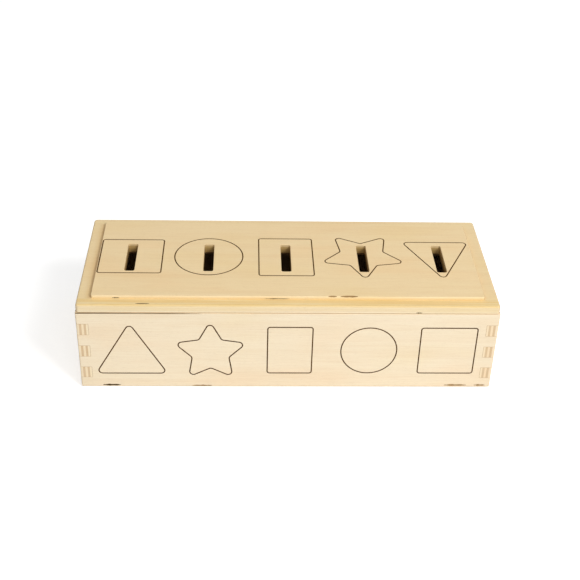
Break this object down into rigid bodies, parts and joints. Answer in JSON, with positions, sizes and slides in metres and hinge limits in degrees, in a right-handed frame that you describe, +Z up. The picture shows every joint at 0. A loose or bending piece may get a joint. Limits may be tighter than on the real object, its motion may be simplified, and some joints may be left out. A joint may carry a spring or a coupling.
{
  "type": "shape sorter box",
  "caption": "Wooden shape sorter: a finger-jointed plywood box with compartments, a loose lid with posting slots, and flat shape tiles that drop through the slots.",
  "frame": {"origin": "centre of the underside of the box", "axes": "+X to the right along the length, +Y to the back, +Z up; the outlined front wall faces -Y"},
  "size_m": [0.3, 0.12, 0.075],
  "materials": {
    "wall_plywood": "sanded, clear matt",
    "lid_plywood": "sanded, clear matt",
    "thin_plywood": "sanded, bare",
    "tile_wood": "sanded, clear satin"
  },
  "bodies": {
    "box": {"front_wall": "wall_plywood", "back_wall": "wall_plywood", "left_wall": "wall_plywood", "right_wall": "wall_plywood", "floor_panel": "thin_plywood", "divider_1": "thin_plywood", "divider_2": "thin_plywood", "divider_3": "thin_plywood", "divider_4": "thin_plywood"},
    "lid": {"lid": "lid_plywood"},
    "tile_square": {"tile_square": "tile_wood"},
    "tile_circle": {"tile_circle": "tile_wood"},
    "tile_rectangle": {"tile_rectangle": "tile_wood"},
    "tile_star": {"tile_star": "tile_wood"},
    "tile_triangle": {"tile_triangle": "tile_wood"}
  },
  "joints": [
    {"name": "lid_lift", "type": "slide", "parent": "box", "child": "lid", "axis": [0, 0, 1], "range_m": [0, 0.12]},
    {"name": "post_square", "type": "slide", "parent": "box", "child": "tile_square", "axis": [0, 0, 1], "range_m": [0, 0.08]},
    {"name": "post_circle", "type": "slide", "parent": "box", "child": "tile_circle", "axis": [0, 0, 1], "range_m": [0, 0.08]},
    {"name": "post_rectangle", "type": "slide", "parent": "box", "child": "tile_rectangle", "axis": [0, 0, 1], "range_m": [0, 0.08]},
    {"name": "post_star", "type": "slide", "parent": "box", "child": "tile_star", "axis": [0, 0, 1], "range_m": [0, 0.08]},
    {"name": "post_triangle", "type": "slide", "parent": "box", "child": "tile_triangle", "axis": [0, 0, 1], "range_m": [0, 0.08]}
  ]
}
